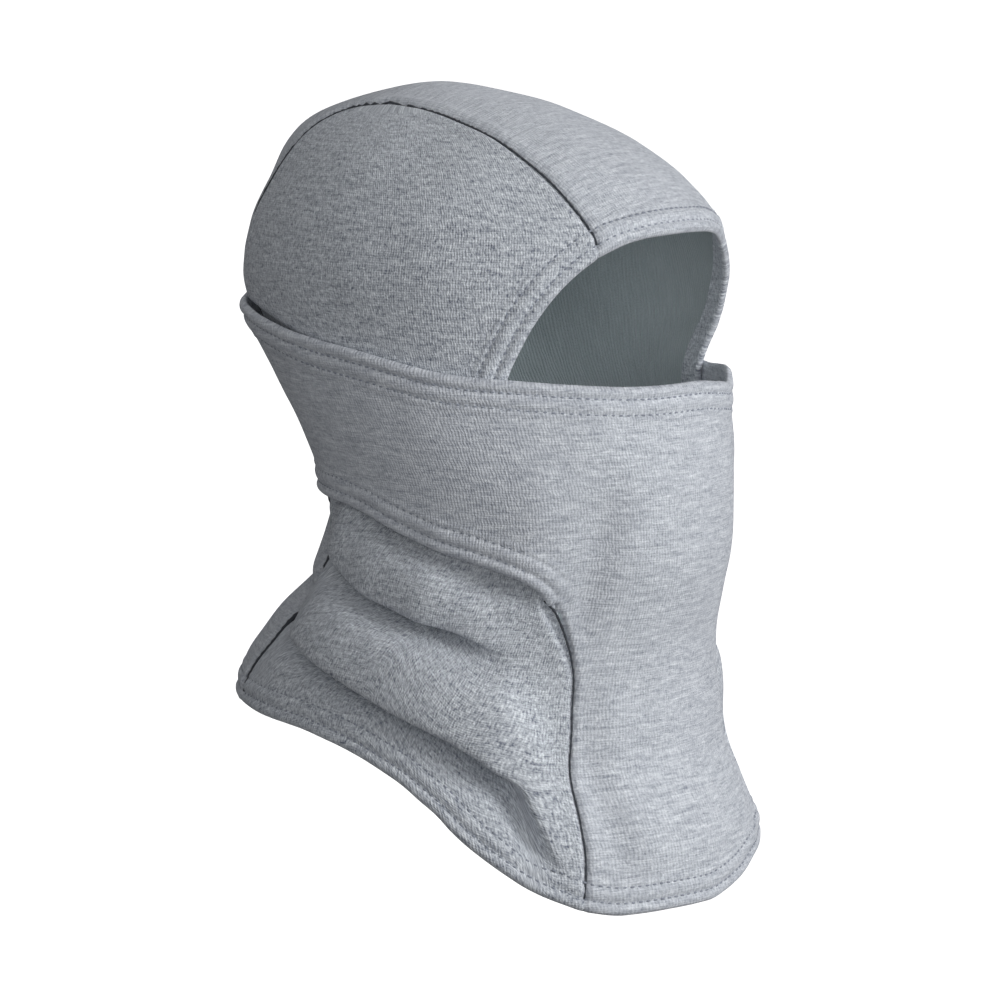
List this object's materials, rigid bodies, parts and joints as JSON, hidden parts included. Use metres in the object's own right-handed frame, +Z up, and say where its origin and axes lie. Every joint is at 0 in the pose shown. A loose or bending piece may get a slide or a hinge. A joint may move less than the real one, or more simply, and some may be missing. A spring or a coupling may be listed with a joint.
{
  "type": "balaclava",
  "caption": "Knitted balaclava with a crown strip, side panels, a front bib and a nose mask on a band round the head that pulls down under the chin.",
  "frame": {"origin": "centre of the neck opening at the height of the lowest point of the front hem, where the wearer's head enters", "axes": "+Z up toward the crown, -Y the way the wearer's face looks, -X the wearer's right"},
  "size_m": [0.175, 0.2206, 0.3104],
  "materials": {
    "knit": "matte heather grey brushed knit",
    "lining": "matte dark grey brushed backing",
    "thread": "matte grey thread"
  },
  "bodies": {
    "hood": {"centre_strip": "knit", "side_panel_right": "knit", "side_panel_left": "knit", "bib_panel": "knit", "nape_loop": "knit", "centre_lining": "lining", "side_lining_right": "lining", "side_lining_left": "lining", "bib_lining": "lining", "nape_lining": "lining", "crown_seam_right": "thread", "crown_seam_left": "thread", "front_seam_right": "thread", "front_seam_left": "thread", "eye_hem_stitching": "thread", "bottom_hem_stitching": "thread", "nape_loop_stitching": "thread"},
    "mask": {"mask_panel": "knit", "mask_lining": "lining", "mask_top_stitching": "thread", "wing_hem_stitching_right": "thread", "wing_hem_stitching_left": "thread"}
  },
  "joints": [
    {"name": "mask_drop", "type": "hinge", "parent": "hood", "child": "mask", "pos_m": [0, 0.04, 0.151], "axis": [1, 0, 0], "range_deg": [0, 30], "deforming": ["bib_panel", "bib_lining", "front_seam_right", "front_seam_left", "side_panel_right", "side_panel_left", "side_lining_right", "side_lining_left", "crown_seam_right", "crown_seam_left", "nape_loop"]}
  ]
}
